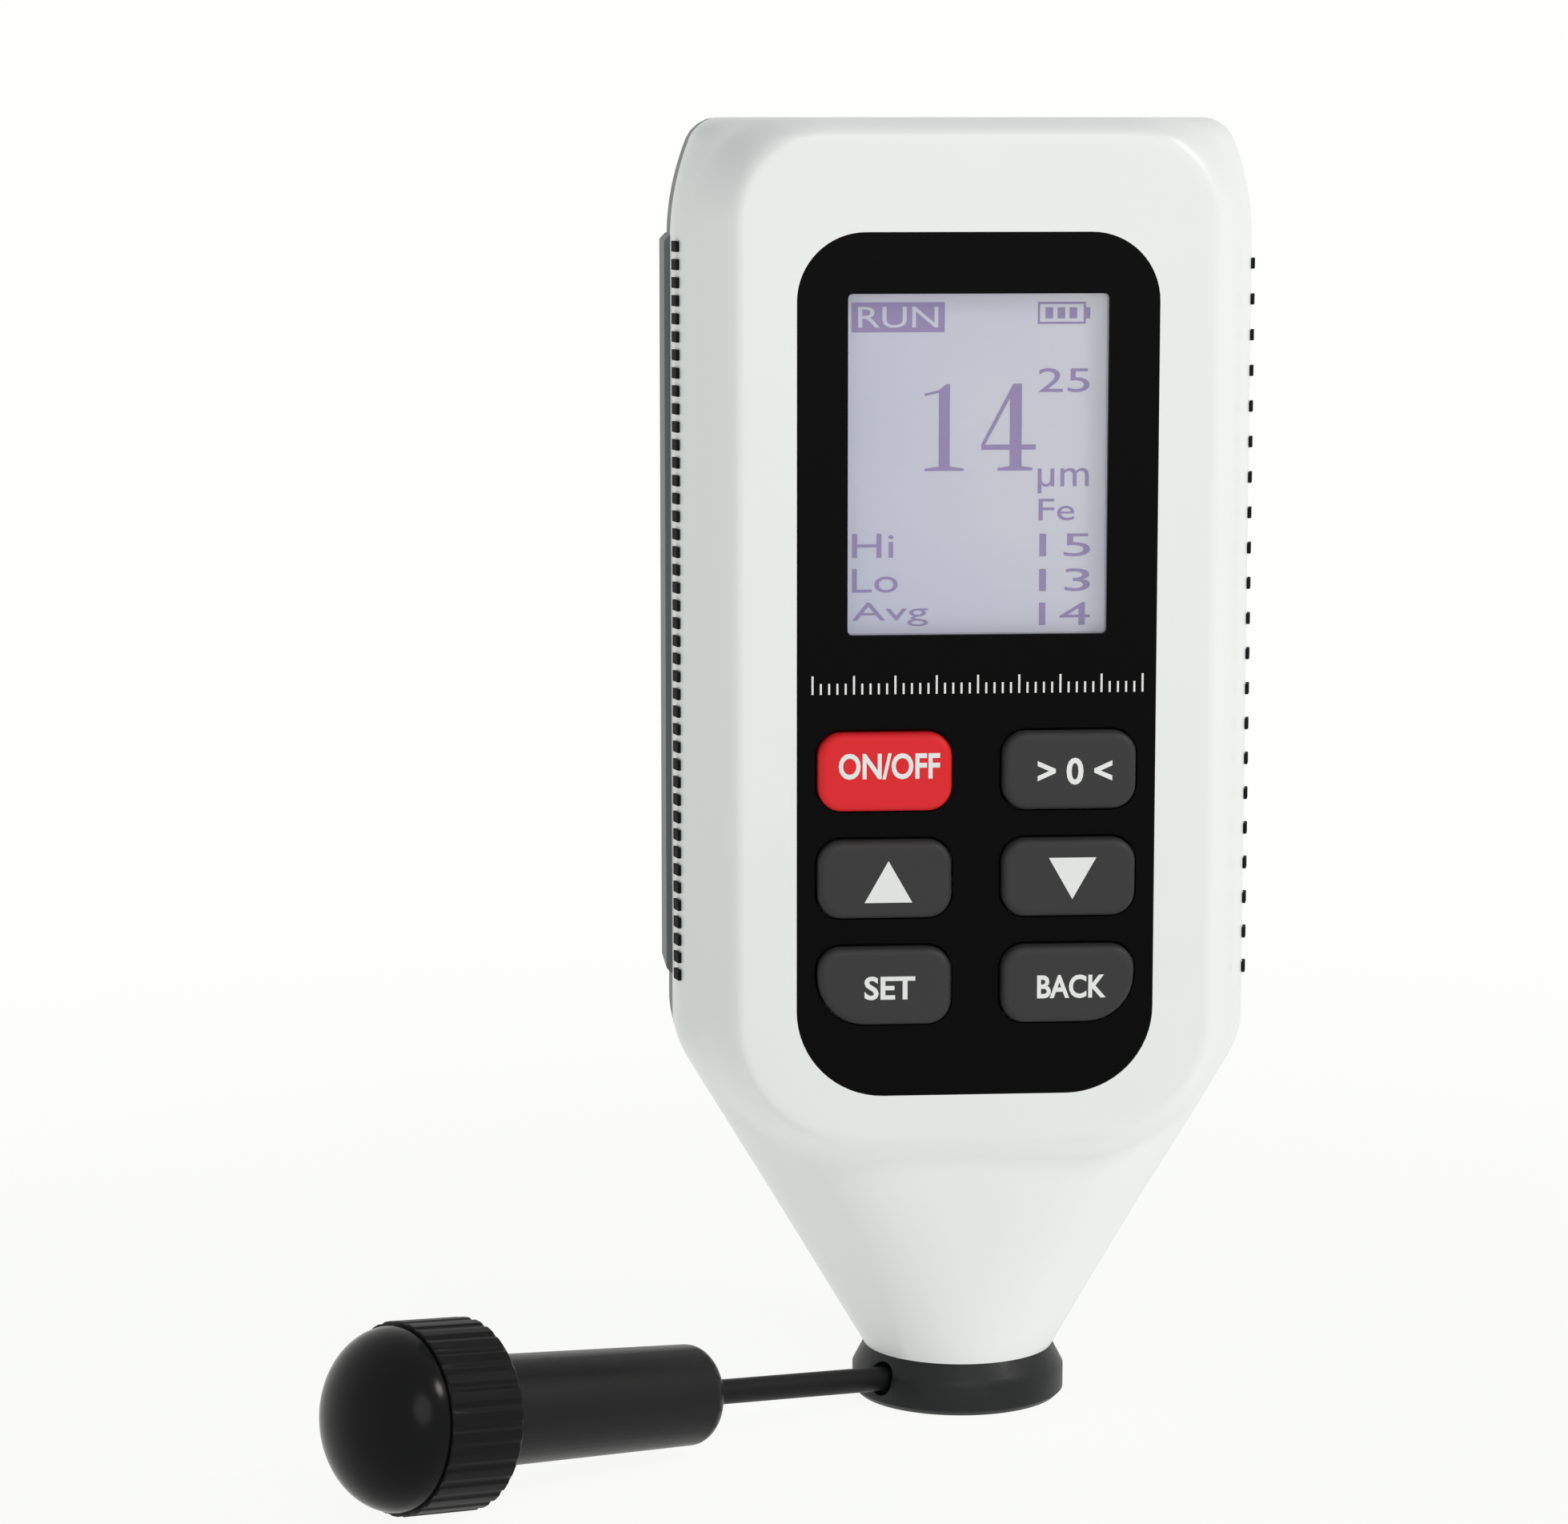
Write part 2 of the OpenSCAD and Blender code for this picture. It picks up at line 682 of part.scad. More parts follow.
module ok_key() {
  key(key_places[4], [0.22, 0.22, 0.22]);
}

module back_key() {
  key(key_places[5], [0.22, 0.22, 0.22]);
}

// Socket on the board and the plug of the lead in it.
module board_socket() {
  color([0.9, 0.88, 0.8])
    block(-plug_half_w - 1, plug_half_w + 1, board_back, board_back + 5.6, board_low, board_low + 6);
}

module lead_plug() {
  color([0.9, 0.88, 0.8])
    block(-plug_half_w, plug_half_w, board_back + 0.4, board_back + 5.4, plug_low, board_low);
}

// The line that the lead and the probe share, from where the lead leaves the ring.
module on_axis() {
  rotate([0, 0, 180 + lead_turn])
    translate([ring_r, 0, lead_z])
      rotate([0, 90 - tilt, 0])
        children();
}

// Stretch of the lead inside the gauge: in through the ring, round a bend and up to the plug.
bend_at = [ring_r + grommet_in * cos(tilt), lead_z + grommet_in * sin(tilt)];
bend_mid = bend_at + bend_r * [-sin(tilt), cos(tilt)];
tail_path = concat(
  [[ring_r + grommet_out * cos(tilt), lead_z + grommet_out * sin(tilt), tilt]],
  [for (i = [0:10]) let (t = tilt - (90 + tilt) * i / 10)
    [bend_mid[0] + bend_r * sin(t), bend_mid[1] - bend_r * cos(t), t]],
  [[bend_mid[0] - bend_r, plug_low, -90]]);

module lead_tail() {
  color(dark)
    rotate([0, 0, 180 + lead_turn])
      loft([for (q = tail_path) [for (a = [0:20:340])
        [q[0] - lead_r * cos(a) * sin(q[2]), lead_r * sin(a), q[1] + lead_r * cos(a) * cos(q[2])]]]);
}

module lead_grommet() {
  color(black)
    on_axis()
      difference() {
        translate([0, 0, grommet_in])
          cylinder(r = grommet_r, h = grommet_out - grommet_in);
        translate([0, 0, grommet_in - 1])
          cylinder(r = lead_r + seat, h = grommet_out - grommet_in + 2);
      }
}

// Foot ring of the nose, held by a flange inside the case.
module nose_ring() {
  color(dark)
    difference() {
      rotate_extrude($fn = 96)
        polygon([[0, 0], [ring_r - 0.5, 0], [ring_r, 0.5], [ring_r, ring_band], [nose_r, ring_h],
                 [neck_r, ring_h], [neck_r, ring_h + neck_floor + seat],
                 [neck_flange_r, ring_h + neck_floor + seat],
                 [neck_flange_r, ring_h + neck_floor + neck_flange_t],
                 [ring_bore_r, ring_h + neck_floor + neck_flange_t], [ring_bore_r, foot_t], [0, foot_t]]);
      on_axis()
        translate([0, 0, grommet_in - 1.5])
          cylinder(r = grommet_r + seat, h = 8);
    }
}

module case_screws() {
  color(steel)
    for (p = screw_at)
      difference() {
        union() {
          bar(p[0], p[1], head_r, head_seat, head_seat + head_h);
          bar(p[0], p[1], screw_r, head_seat - screw_len, head_seat + head_h / 2);
        }
        for (half = [[cross_half, cross_w], [cross_w, cross_half]])
          block(p[0] - half[0], p[0] + half[0], head_seat + head_h - cross_deep, head_seat + 2 * head_h,
                p[1] - half[1], p[1] + half[1]);
      }
}

// Battery door: a plate that drops onto the bay's ledge, with two pegs, a latch slit and grip ribs.
module battery_door() {
  color(grey)
    difference() {
      union() {
        block(-door_half, door_half, door_back + seat, rear_d, door_low, door_high);
        for (x = [-peg_x, peg_x])
          block(x - peg_half, x + peg_half, door_back - door_t * 0.9, door_back + door_t / 2,
                bay_low + slip, bay_low + slip + peg_t);
      }
      for (i = [0:4])
        block(-rib_half, rib_half, rear_d - door_t * 0.3, rear_d + 1,
              door_high - 1.8 * latch_len - i * rib_pitch, door_high - 1.8 * latch_len - (i - 0.5) * rib_pitch);
      for (x = [-latch_half, latch_half])
        block(x - 0.3, x + 0.3, door_back - 1, rear_d + 1, door_high - latch_len, door_high + 1);
    }
}

// Cells stand side by side, one up and one down.
module battery(x, low, up) {
  nub = 0.9;
  body = battery_len - nub;
  color([0.16, 0.2, 0.26])
    union() {
      translate([x, battery_y, low + (up ? 0 : nub)])
        cylinder(d = battery_d, h = body);
      translate([x, battery_y, low + (up ? body - 1 : 0)])
        cylinder(r = 1.8, h = nub + 1);
    }
}

module battery_left() {
  battery(-cell_x, bay_top - plate_t - seat - battery_len, true);
}

module battery_right() {
  battery(cell_x, bay_low + plate_t + seat, false);
}

// Bent leaf springs at the flat ends of the cells.
module leaf(x, z, up) {
  translate([x, battery_y, z])
    mirror([0, 0, up ? 0 : 1])
      translate([-leaf_w / 2, 0, 0])
        rotate([90, 0, 90])
          linear_extrude(leaf_w)
            polygon([[-leaf_half, 0], [leaf_half, 0], [leaf_half, plate_t], [-leaf_half * 0.6, plate_t],
                     [leaf_half * 0.4, spring_room * 0.85 + plate_t],
                     [leaf_half * 0.65, spring_room * 0.97 + plate_t],
                     [leaf_half * 0.3, spring_room + plate_t], [-leaf_half, plate_t * 1.75]]);
}

module battery_springs() {
  color(steel) {
    leaf(-cell_x, bay_low, true);
    leaf(cell_x, bay_top, false);
  }
}

module battery_plates() {
  color(steel) {
    block(-cell_x - plate_half, -cell_x + plate_half, battery_y - plate_half, battery_y + plate_half,
          bay_top - plate_t, bay_top);
    block(cell_x - plate_half, cell_x + plate_half, battery_y - plate_half, battery_y + plate_half,
          bay_low, bay_low + plate_t);
  }
}

module probe_lead() {
  color(black)
    on_axis()
      translate([0, 0, grommet_out])
        cylinder(r = lead_r, h = lead_end - grommet_out);
}

// Tapered handle with a rounded tail, the collar and the head that the cap goes over.
function arc_points(cx, cy, rx, ry, a0, a1, n) =
  [for (i = [0:n]) let (a = a0 + (a1 - a0) * i / n) [cx + rx * cos(a), cy + ry * sin(a)]];

module probe_handle() {
  color(dark)
    on_axis()
      rotate_extrude($fn = 96)
        polygon(concat(
          [[lead_r + seat, bore_start], [lead_r + seat, lead_free]],
          arc_points(tail_d / 2 - tail_round, lead_free + tail_round, tail_round, tail_round, -90, 0, 6),
          [[handle_d / 2, handle_end], [collar_d / 2 - 0.3, handle_end], [collar_d / 2, handle_end + 0.3],
           [collar_d / 2, collar_end], [head_out_r, collar_end], [head_out_r, head_end - 0.6],
           [head_out_r - 0.6, head_end], [bore_r, head_end], [bore_r, bore_start]]));
}

// Pull-off cap: fluted band and domed end, hollow over the probe's head.
module probe_cap() {
  dome_r = cap_r - dome_step;
  inner_start = head_end + slip;
  color(black)
    on_axis()
      difference() {
        rotate_extrude($fn = 96)
          polygon(concat(
            [[cap_bore_r, cap_start], [cap_r - rim_chamfer, cap_start], [cap_r, rim_at], [cap_r, dome_start]],
            arc_points(0, dome_start, dome_r, dome_h, 0, 90, 12),
            arc_points(0, dome_start, cap_bore_r, dome_h - dome_wall, 90, 0, 8)));
        for (i = [0:flutes - 1])
          rotate([0, 0, (i + 0.5) * 360 / flutes])
            translate([cap_r + 0.6 - flute_depth, 0, cap_start - 1])
              cylinder(r = 0.6, h = band_len + 1.5, $fn = 24);
      }
}

// Front guide of the sensor, pressed into the head.
module sensor_guide() {
  color([0.76, 0.62, 0.35])
    on_axis()
      difference() {
        translate([0, 0, head_end - guide_len])
          cylinder(r = bore_r - seat, h = guide_len);
        translate([0, 0, head_end - guide_len - 1])
          cylinder(r = rod_r + slip, h = guide_len + 2);
      }
}

// Sprung pole of the sensor with its stop disc and round end.
module sensor_tip() {
  color(steel)
    on_axis()
      union() {
        translate([0, 0, disc_start])
          cylinder(r = bore_r - slip, h = disc_t);
        translate([0, 0, disc_start + disc_t / 2])
          cylinder(r = rod_r, h = head_end + tip_out - rod_r - disc_start - disc_t / 2);
        translate([0, 0, head_end + tip_out - rod_r])
          sphere(r = rod_r);
      }
}

module sensor_coil() {
  color(copper)
    on_axis()
      difference() {
        translate([0, 0, coil_start + seat])
          cylinder(r = bore_r - 0.5, h = coil_len - seat);
        translate([0, 0, coil_start - 1])
          cylinder(r = rod_r + seat, h = coil_len + 2);
      }
}

// Coil spring behind the sensor.
spring_r = 2.6;
spring_wire = 0.25;
spring_turns = 6;
spring_len = disc_start - bore_start - 2 * spring_wire - 2 * seat;

module probe_spring() {
  n = spring_turns * 12;
  lead_angle = atan2(spring_len, 360 * spring_turns * spring_r * PI / 180);
  color(steel)
    on_axis()
      loft([for (i = [0:n]) let (t = i * 360 * spring_turns / n, mid = bore_start + spring_wire + seat)
        [for (a = [0:60:300])
          [(spring_r + spring_wire * cos(a)) * cos(t) + spring_wire * sin(a) * sin(lead_angle) * sin(t),
           (spring_r + spring_wire * cos(a)) * sin(t) - spring_wire * sin(a) * sin(lead_angle) * cos(t),
           mid + spring_len * i / n + spring_wire * sin(a) * cos(lead_angle)]]]);
}

front_case();
rear_case();
side_grip_left();
side_grip_right();
front_panel();
display_window();
lcd_cell();
backlight();
main_board();
board_chips();
board_screws();
contact_pads();
buzzer();
keypad_mat();
power_key();
zero_key();
up_key();
down_key();
ok_key();
back_key();
board_socket();
lead_plug();
lead_tail();
lead_grommet();
nose_ring();
case_screws();
battery_door();
battery_left();
battery_right();
battery_springs();
battery_plates();
probe_lead();
probe_handle();
probe_cap();
sensor_guide();
sensor_tip();
sensor_coil();
probe_spring();
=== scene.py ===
import math

import bpy
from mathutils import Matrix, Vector


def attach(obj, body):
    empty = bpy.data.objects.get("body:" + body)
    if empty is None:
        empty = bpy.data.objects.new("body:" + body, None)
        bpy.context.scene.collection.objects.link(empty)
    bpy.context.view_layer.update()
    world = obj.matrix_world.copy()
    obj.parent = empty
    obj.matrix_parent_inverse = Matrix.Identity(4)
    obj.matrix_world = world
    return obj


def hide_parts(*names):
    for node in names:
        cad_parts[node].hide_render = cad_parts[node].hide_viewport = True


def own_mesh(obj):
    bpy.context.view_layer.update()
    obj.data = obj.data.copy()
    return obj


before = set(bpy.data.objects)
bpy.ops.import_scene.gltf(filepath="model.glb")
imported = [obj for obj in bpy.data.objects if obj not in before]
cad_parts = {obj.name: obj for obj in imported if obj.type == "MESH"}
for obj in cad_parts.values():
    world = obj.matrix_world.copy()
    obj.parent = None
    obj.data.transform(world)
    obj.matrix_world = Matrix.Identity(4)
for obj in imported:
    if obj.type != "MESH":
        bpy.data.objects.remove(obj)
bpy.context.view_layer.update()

# Front half of the case: one white ABS moulding that grows from a round nose into a squarish body, with
# a softly raised front that takes the panel. It carries screw bosses inside and is clamped to the rear
# half from behind.
mm = 0.001
nose_r, ring_h, half_case = 9.0, 4.8, 27.1
nose_lean, front_lean, crown_lean = math.radians(31.2), math.radians(4.4), math.radians(20)
case_top, top_edge, crown_half, crown_back = 121.0, 2.0, 24.6, 2.8
shoulder_soft, crown_soft, front_soft = 1.2, 1.6, 0.8
front_d, joint_back, joint_run, wall = 12.0, 3.5, 20.0, 1.6
square_more, square_run = 1.2, 24.0
raised, raised_fall, raised_w, raised_low, raised_high = 1.2, 0.5, 43.0, 27.4, 119.4
low_r, high_r = 11.0, 8.0


def soft_min(a, b, k):
    """Lesser of two lengths, eased over where they are about the same."""
    h = min(1.0, max(0.0, 0.5 + 0.5 * (b - a) / k))
    return b + (a - b) * h - k * h * (1 - h)


def ease(t):
    """Goes softly from 0 to 1."""
    t = min(1.0, max(0.0, t))
    return t * t * (3 - 2 * t)


def top_round(z):
    """How far the top edge is rounded back at a height."""
    above = z - (case_top - top_edge)
    return 0.0 if above <= 0 else top_edge - math.sqrt(max(0.0, top_edge**2 - above**2))


def half_width(z):
    """Half the width of the case at a height: the least of its nose, its body and its crown."""
    nose = nose_r + (z - ring_h) * math.tan(nose_lean)
    crown = crown_half + (case_top - z) * math.tan(crown_lean)
    return soft_min(soft_min(nose, half_case, shoulder_soft), crown, crown_soft) - top_round(z)


def front_depth(z):
    """Depth of the white half at a height, before its front is raised."""
    nose = nose_r + (z - ring_h) * math.tan(front_lean)
    crown = front_d - crown_back + (case_top - z) * math.tan(crown_lean)
    return soft_min(soft_min(nose, front_d - raised, front_soft), crown, front_soft) - top_round(z)


def joint_line(z):
    """How far back the two halves meet at a height."""
    return joint_back * ease((z - ring_h) / joint_run)


def raised_face(x, z):
    """Depth of the raised front: level in a rounded rectangle, falling ever steeper outside it."""
    middle = (raised_high + raised_low) / 2
    r = low_r if z < middle else high_r
    across = abs(x) - raised_w / 2 + r
    up = abs(z - middle) - (raised_high - raised_low) / 2 + r
    past = math.hypot(max(across, 0), max(up, 0)) + min(max(across, up), 0) - r
    return front_d - raised_fall * max(0.0, past) ** 2 - top_round(z)


def front_place(turn, z):
    """Point of the white shell at a height, turned from its left joint line round to the right one."""
    power = 2 + square_more * ease((z - ring_h) / square_run)
    c, s = math.cos(turn), math.sin(turn)
    square = (abs(c) ** power + abs(s) ** power) ** (1 / power)
    x = -half_width(z) * c / square
    deep = (front_depth(z) + joint_line(z)) * s / square - joint_line(z)
    if s > 1e-6:
        deep = -soft_min(-deep, -raised_face(x, z), raised)
    return x, -deep, z


def pick(piece, test, part="vertices"):
    """In edit mode, selects the elements of a mesh that pass a test, and nothing else."""
    bpy.ops.mesh.select_mode(type={"vertices": "VERT", "polygons": "FACE"}[part])
    bpy.ops.mesh.select_all(action="DESELECT")
    bpy.ops.object.mode_set(mode="OBJECT")
    for element in getattr(piece.data, part):
        element.select = test(element)
    bpy.ops.object.mode_set(mode="EDIT")


def apply(piece, kind, **settings):
    """Adds a modifier and applies it."""
    bpy.context.view_layer.objects.active = piece
    step = piece.modifiers.new(kind.lower(), kind)
    for name, value in settings.items():
        setattr(step, name, value)
    bpy.ops.object.modifier_apply(modifier=step.name)


def smooth(piece, angle):
    """Rounds the shading up to an angle between faces, and keeps large flat faces even."""
    bpy.ops.object.select_all(action="DESELECT")
    piece.select_set(True)
    bpy.context.view_layer.objects.active = piece
    bpy.ops.object.shade_smooth_by_angle(angle=math.radians(angle))
    apply(piece, "WEIGHTED_NORMAL", weight=100, keep_sharp=True)


def join(pieces, name):
    """Makes one mesh of several."""
    bpy.ops.object.select_all(action="DESELECT")
    for piece in pieces:
        piece.select_set(True)
    bpy.context.view_layer.objects.active = pieces[0]
    bpy.ops.object.join()
    pieces[0].name = name
    return pieces[0]


def cut(piece, tools, operation="DIFFERENCE"):
    """Cuts pieces out of another one, or adds them to it, and removes them."""
    tool = join(tools, "tool")
    apply(piece, "BOOLEAN", operation=operation, solver="EXACT", object=tool)
    bpy.data.objects.remove(tool)


def shell(name, place, columns, rows):
    """Skin over a run of cross sections, closed at the top and a wall thick."""
    bpy.ops.object.select_all(action="DESELECT")
    bpy.ops.mesh.primitive_grid_add(x_subdivisions=columns, y_subdivisions=rows, size=2)
    skin = bpy.context.object
    skin.name = name
    edge_share = 0.06
    for v in skin.data.vertices:
        up = (v.co.y + 1) / 2 / (1 - edge_share)
        if up < 1:
            z = ring_h + up * (case_top - top_edge - ring_h)
        else:
            turn = (up - 1) * (1 - edge_share) / edge_share * math.pi / 2
            z = case_top - top_edge + top_edge * math.sin(turn)
        v.co = Vector(place((v.co.x + 1) / 2 * math.pi, z)) * mm
    bpy.ops.object.mode_set(mode="EDIT")
    pick(skin, lambda v: v.co.z > (case_top - 1e-4) * mm)
    bpy.ops.mesh.edge_face_add()
    bpy.ops.mesh.select_all(action="SELECT")
    bpy.ops.mesh.normals_make_consistent(inside=False)
    bpy.ops.object.mode_set(mode="OBJECT")
    apply(skin, "SOLIDIFY", thickness=wall * mm, offset=-1)
    return skin


def plate(name, x, z, w, h, radii, front, back, segments=10):
    """Plate that faces the viewer, with four corner radii, from the lower left one on by the right."""
    bpy.ops.object.select_all(action="DESELECT")
    bpy.ops.mesh.primitive_plane_add(
        size=1, location=(x * mm, front * mm, z * mm), rotation=(math.pi / 2, 0, 0))
    piece = bpy.context.object
    piece.name = name
    piece.scale = (w * mm, h * mm, 1)
    bpy.ops.object.transform_apply(location=True, rotation=True, scale=True)
    bpy.ops.object.mode_set(mode="EDIT")
    for sx, sz, r in zip((-1, 1, 1, -1), (-1, -1, 1, 1), radii):
        corner = Vector((x + sx * w / 2, front, z + sz * h / 2)) * mm
        pick(piece, lambda v: (v.co - corner).length < 1e-6)
        bpy.ops.mesh.bevel(offset=r * mm, segments=segments, affect="VERTICES")
    bpy.ops.mesh.select_all(action="SELECT")
    bpy.ops.mesh.extrude_region_move(TRANSFORM_OT_translate={"value": (0, (back - front) * mm, 0)})
    bpy.ops.mesh.select_all(action="SELECT")
    bpy.ops.mesh.normals_make_consistent(inside=False)
    bpy.ops.object.mode_set(mode="OBJECT")
    return piece


def bar(x, z, r, front, back, sides=32):
    """Round bar from front to back, for a boss, a post or a bore."""
    bpy.ops.object.select_all(action="DESELECT")
    bpy.ops.mesh.primitive_cylinder_add(
        vertices=sides, radius=r * mm, depth=(back - front) * mm,
        location=(x * mm, (front + back) / 2 * mm, z * mm), rotation=(math.pi / 2, 0, 0))
    bpy.ops.object.transform_apply(location=True, rotation=True, scale=True)
    return bpy.context.object


panel_w, panel_h, panel_low, panel_t = 33.0, 79.3, 31.4, 0.8
panel_radii = (8.0, 8.0, 6.2, 6.2)
panel_mid = panel_low + panel_h / 2
window_w, window_h, window_z = 23.8, 31.0, 89.7
key_w, key_h, key_x = 12.3, 7.2, 8.5
key_rows = (41.8, 51.75, 61.7)
key_r, key_low_r = 2.2, 4.4
plain_key = (key_r, key_r, key_r, key_r)
left_key = (key_low_r, key_r, key_r, key_r)
right_key = (key_r, key_low_r, key_r, key_r)
key_places = {
    "power_key": (-key_x, key_rows[2], plain_key), "zero_key": (key_x, key_rows[2], plain_key),
    "up_key": (-key_x, key_rows[1], plain_key), "down_key": (key_x, key_rows[1], plain_key),
    "ok_key": (-key_x, key_rows[0], left_key), "back_key": (key_x, key_rows[0], right_key)}
slip, seat = 0.2, 0.05


def openings(front, back):
    """Bores for the display and the six keys, each a little wider than what goes through it."""
    holes = [plate("hole", 0, window_z, window_w, window_h, (0.4,) * 4, front, back, 3)]
    for x, z, radii in key_places.values():
        wider = [r + slip for r in radii]
        holes.append(plate("hole", x, z, key_w + 2 * slip, key_h + 2 * slip, wider, front, back))
    return holes


class Ink:
    """A shader socket that can be reckoned with. Its add method puts in any other node."""

    def __init__(self, tree, socket=None):
        self.tree, self.socket = tree, socket

    def add(self, kind, settings=None, values=None, out=0):
        node = self.tree.nodes.new(kind)
        for name, value in (settings or {}).items():
            setattr(node, name, value)
        for name, value in (values or {}).items():
            if isinstance(value, Ink):
                self.tree.links.new(value.socket, node.inputs[name])
            else:
                node.inputs[name].default_value = value
        return Ink(self.tree, node.outputs[out])

    def reckon(self, operation, first, second):
        return self.add("ShaderNodeMath", {"operation": operation}, {0: first, 1: second})

    def __add__(self, other):
        return self.reckon("ADD", self, other)

    __radd__ = __add__

    def __mul__(self, other):
        return self.reckon("MULTIPLY", self, other)

    __rmul__ = __mul__

    def __sub__(self, other):
        return self.reckon("SUBTRACT", self, other)

    def __rsub__(self, other):
        return self.reckon("SUBTRACT", other, self)

    def __gt__(self, other):
        return self.reckon("GREATER_THAN", self, other)


def shade(colour, by=1.0):
    """Linear colour of an 8-bit one, made lighter or darker."""
    linear = [c / 255 / 12.92 if c < 10.3 else ((c / 255 + 0.055) / 1.055) ** 2.4 for c in colour]
    return (*[min(1.0, c * by) for c in linear], 1.0)


def surface(name, fixed):
    """New material: its node tree, its shader and where a point lies on the piece."""
    made = bpy.data.materials.new(name)
    made.use_nodes = True
    shader = made.node_tree.nodes["Principled BSDF"]
    for socket, value in fixed.items():
        shader.inputs[socket].default_value = value
    ink = Ink(made.node_tree)
    return made, ink, shader, ink.add("ShaderNodeTexCoord", out="Object")


def feed(ink, shader, links):
    for socket, value in links.items():
        ink.tree.links.new(value.socket, shader.inputs[socket])


def blend(ink, share, first, second):
    return ink.add("ShaderNodeMix", {"data_type": "RGBA"}, {0: share, 6: first, 7: second}, out=2)


def noise(ink, place, scale, detail):
    return ink.add("ShaderNodeTexNoise", values={"Vector": place, "Scale": scale, "Detail": detail})


cloud_scale, cloud_gloss, grain_gloss = 90.0, 0.08, 0.12


def moulded(name, colour, rough, cloud, grain, depth, fixed=None):
    """Moulded plastic, rubber or plated metal: a faint cloud in its colour, and a fine grain in its gloss
    and its face."""
    made, ink, shader, place = surface(name, fixed or {})
    clouds = noise(ink, place, cloud_scale, 3.0)
    grains = noise(ink, place, 1 / (grain * mm), 2.0)
    bump = ink.add("ShaderNodeBump", values={"Height": grains, "Strength": 0.5, "Distance": depth * mm})
    feed(ink, shader, {
        "Base Color": blend(ink, clouds, shade(colour, 1 - cloud), shade(colour, 1 + cloud)),
        "Roughness": rough + (grains - 0.5) * grain_gloss + (clouds - 0.5) * cloud_gloss,
        "Normal": bump})
    return made


def dress(piece, body, material, slot, *nodes):
    """Gives a finished piece its material, its body and the solids that it stands for."""
    piece.data.materials.clear()
    piece.data.materials.append(material)
    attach(piece, body)
    if nodes:
        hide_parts(*nodes)


white_case = moulded("white_case", (237, 239, 236), 0.36, cloud=0.012, grain=0.35, depth=0.004)
front_case = shell("front_case_shell", front_place, 144, 176)
upper_boss, lower_boss = (20.4, 112.4, -6.2), (12.4, 27.0, -8.0)
screw_bosses = [(side * x, z, front) for side in (-1, 1) for x, z, front in (upper_boss, lower_boss)]
post_x, post_rows, post_front, board_face = 18.3, (36.8, 105.5), -8.1, -6.3
board_posts = [(side * post_x, z, post_front) for side in (-1, 1) for z in post_rows]
boss_r, post_r, pilot_r, pilot_front = 2.5, 1.5, 1.1, -2.8
bosses = [bar(x, z, boss_r, front, joint_back) for x, z, front in screw_bosses]
posts = [bar(x, z, post_r, front, board_face) for x, z, front in board_posts]
cut(front_case, bosses + posts, "UNION")
cut(front_case, [bar(x, z, pilot_r, pilot_front, joint_back + 1) for x, z, front in screw_bosses])
cut(front_case, [plate("recess", 0, panel_mid, panel_w + 2 * seat, panel_h + 2 * seat,
                       [r + seat for r in panel_radii], -front_d - 2, -front_d + panel_t, 16)])
cut(front_case, openings(-front_d - 2, -front_d + 6))
smooth(front_case, 32)
dress(front_case, "gauge", white_case, "white_case", "front_case")

# Rear half of the case: a grey ABS moulding with a fine eroded texture, its battery bay closed by a flush
# door of the same stuff with grip ribs. Four recessed screws go through it into the front half's bosses.
dull = {"Specular IOR Level": 0.2}
grey_case = moulded("grey_case", (102, 106, 107), 0.5, cloud=0.05, grain=0.3, depth=0.03, fixed=dull)


def eased_copy(node, angle, bevel=0.0):
    """Merged copy of a solid with its edges a little broken and its round faces smooth."""
    piece = bpy.data.objects.new(node + "_skin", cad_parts[node].data.copy())
    bpy.context.scene.collection.objects.link(piece)
    bpy.ops.object.select_all(action="DESELECT")
    piece.select_set(True)
    bpy.context.view_layer.objects.active = piece
    bpy.ops.object.mode_set(mode="EDIT")
    bpy.ops.mesh.select_all(action="SELECT")
    bpy.ops.mesh.remove_doubles(threshold=0.002 * mm)
    bpy.ops.mesh.dissolve_limited(angle_limit=math.radians(0.5))
    bpy.ops.object.mode_set(mode="OBJECT")
    if bevel:
        apply(piece, "BEVEL", width=bevel * mm, segments=2, limit_method="ANGLE",
              angle_limit=math.radians(40))
    smooth(piece, angle)
    return piece


dress(eased_copy("rear_case", 32), "gauge", grey_case, "grey_case", "rear_case")
dress(eased_copy("battery_door", 32, 0.15), "door", grey_case, "grey_case", "battery_door")

# Side grips: a row of small rubber studs on each side of the white half, in front of the joint, the right
# one with every second stud. They are bonded on and follow its round.
grip_rubber = moulded("grip_rubber", (12, 13, 14), 0.7, cloud=0.1, grain=0.25, depth=0.02,
                      fixed={"Specular IOR Level": 0.1})
for side in ("side_grip_left", "side_grip_right"):
    dress(eased_copy(side, 40, 0.04), "gauge", grip_rubber, "grip_rubber", side)

# Front panel: a black polycarbonate film printed from behind, let into the raised front. A fine white
# scale is printed between the display and the keys.
panel_black = moulded("panel_black", (4, 4, 4), 0.34, cloud=0.1, grain=1.2, depth=0.004,
                      fixed={"Specular IOR Level": 0.05})
front_panel = plate("front_panel_film", 0, panel_mid, panel_w, panel_h, panel_radii,
                    -front_d, -front_d + panel_t, 16)
cut(front_panel, openings(-front_d - 1, -front_d + 2))
apply(front_panel, "BEVEL", width=0.07 * mm, segments=2, limit_method="ANGLE",
      angle_limit=math.radians(60))
smooth(front_panel, 40)
dress(front_panel, "gauge", panel_black, "panel_black", "front_panel")

legend_white = moulded("legend_white", (232, 232, 230), 0.5, cloud=0.05, grain=0.2, depth=0.004)
print_t = 0.02


